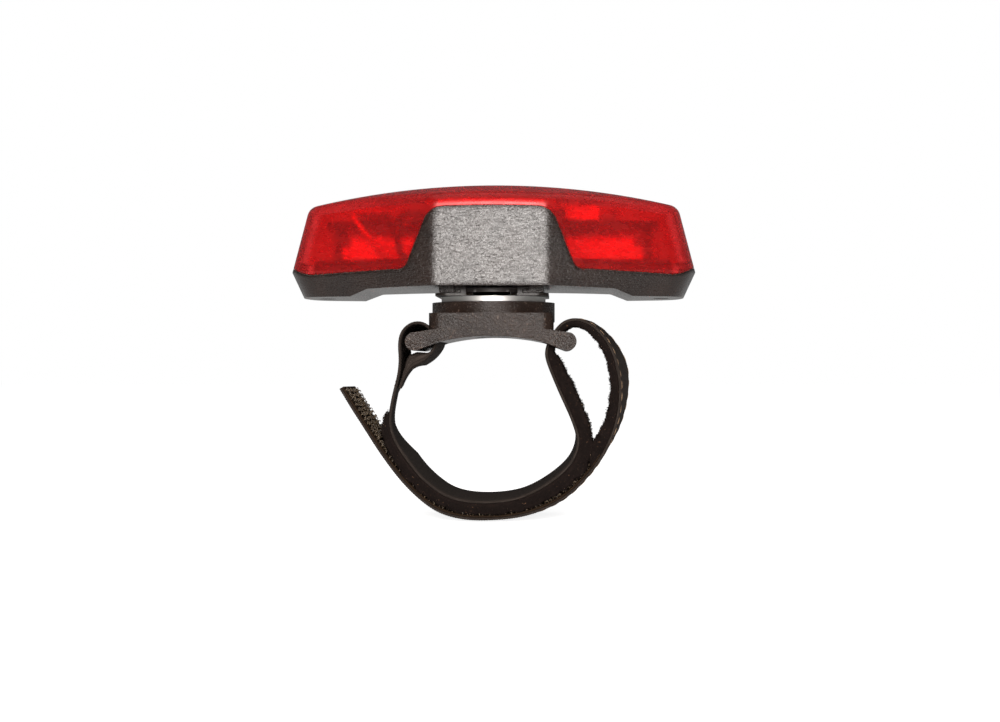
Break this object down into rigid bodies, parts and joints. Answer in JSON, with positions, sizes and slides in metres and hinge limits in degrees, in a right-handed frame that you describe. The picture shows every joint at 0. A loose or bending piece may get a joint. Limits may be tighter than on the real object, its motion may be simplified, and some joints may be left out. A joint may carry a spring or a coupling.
{
  "type": "helmet rear light",
  "caption": "Red rear light with a domed translucent lens, sliding onto a swivelling shoe on a saddle bracket with a hook and loop strap",
  "frame": {"origin": "top of the saddle's hollow underside, on the swivel's axis, where the saddle rests on what it is strapped to", "axes": "+X along the lamp, +Z out through the lens, -Y the side with the release latch, +Y the side with the button"},
  "size_m": [0.0702, 0.0304, 0.0576],
  "materials": {
    "lens_red": "hazy glossy translucent red",
    "housing_dark": "fine moulded grain",
    "bracket_dark": "speckled moulded grain",
    "shoe_dark": "smooth dark plastic",
    "rubber_dark": "soft matt rubber",
    "webbing_dark": "woven ribbed webbing",
    "pile_dark": "fuzzy loop pile",
    "hook_brown": "translucent moulded hooks",
    "thread_tan": "twisted thread",
    "tray_black": "smooth moulded",
    "cell_silver": "laminated pouch foil",
    "foam_grey": "closed cell foam",
    "board_dark": "solder mask",
    "chip_black": "moulded epoxy",
    "led_yellow": "phosphor dome",
    "optic_clear": "clear polished",
    "connector_white": "moulded nylon",
    "lead_red": "insulation",
    "lead_black": "insulation",
    "steel": "zinc plated"
  },
  "bodies": {
    "bracket": {"saddle_bracket": "bracket_dark", "detent_spring": "steel", "strap_webbing": "webbing_dark", "strap_loop_pile": "pile_dark", "strap_hook_tape": "hook_brown", "strap_stitches": "thread_tan"},
    "shoe": {"slide_shoe": "shoe_dark", "swivel_screw": "steel", "swivel_washer": "steel"},
    "latch": {"release_latch": "shoe_dark"},
    "lamp": {"rear_housing": "housing_dark", "lens_cover": "lens_red", "lens_seal": "rubber_dark", "lens_screws": "steel", "battery_tray": "tray_black", "battery_cell": "cell_silver", "battery_foam": "foam_grey", "protection_board": "board_dark", "circuit_board": "board_dark", "board_screws": "steel", "leds": "led_yellow", "led_optics": "optic_clear", "control_chip": "chip_black", "board_parts": "chip_black", "battery_connector": "connector_white", "battery_lead_red": "lead_red", "battery_lead_black": "lead_black", "charge_port": "steel", "charge_port_contacts": "connector_white", "tact_switch": "chip_black"},
    "button": {"power_button": "rubber_dark", "switch_plunger": "connector_white"},
    "cover": {"port_cover": "rubber_dark"}
  },
  "joints": [
    {"name": "shoe_swivel", "type": "hinge", "parent": "bracket", "child": "shoe", "pos_m": [0, 0, 0], "axis": [0, 0, 1], "range_deg": [-90, 90]},
    {"name": "latch_press", "type": "hinge", "parent": "shoe", "child": "latch", "pos_m": [0, 0.003, 0.0077], "axis": [1, 0, 0], "range_deg": [0, 2.3], "stiffness_Nm_per_rad": 0.01},
    {"name": "lamp_slide", "type": "slide", "parent": "shoe", "child": "lamp", "axis": [0, 1, 0], "range_m": [0, 0.02]},
    {"name": "button_press", "type": "slide", "parent": "lamp", "child": "button", "axis": [0, -0.9976, -0.0698], "range_m": [0, 0.0004], "stiffness_N_per_m": 500},
    {"name": "cover_hinge", "type": "hinge", "parent": "lamp", "child": "cover", "pos_m": [0.0047, 0.01434, 0.01447], "axis": [-1, 0, 0], "range_deg": [0, 90]}
  ]
}
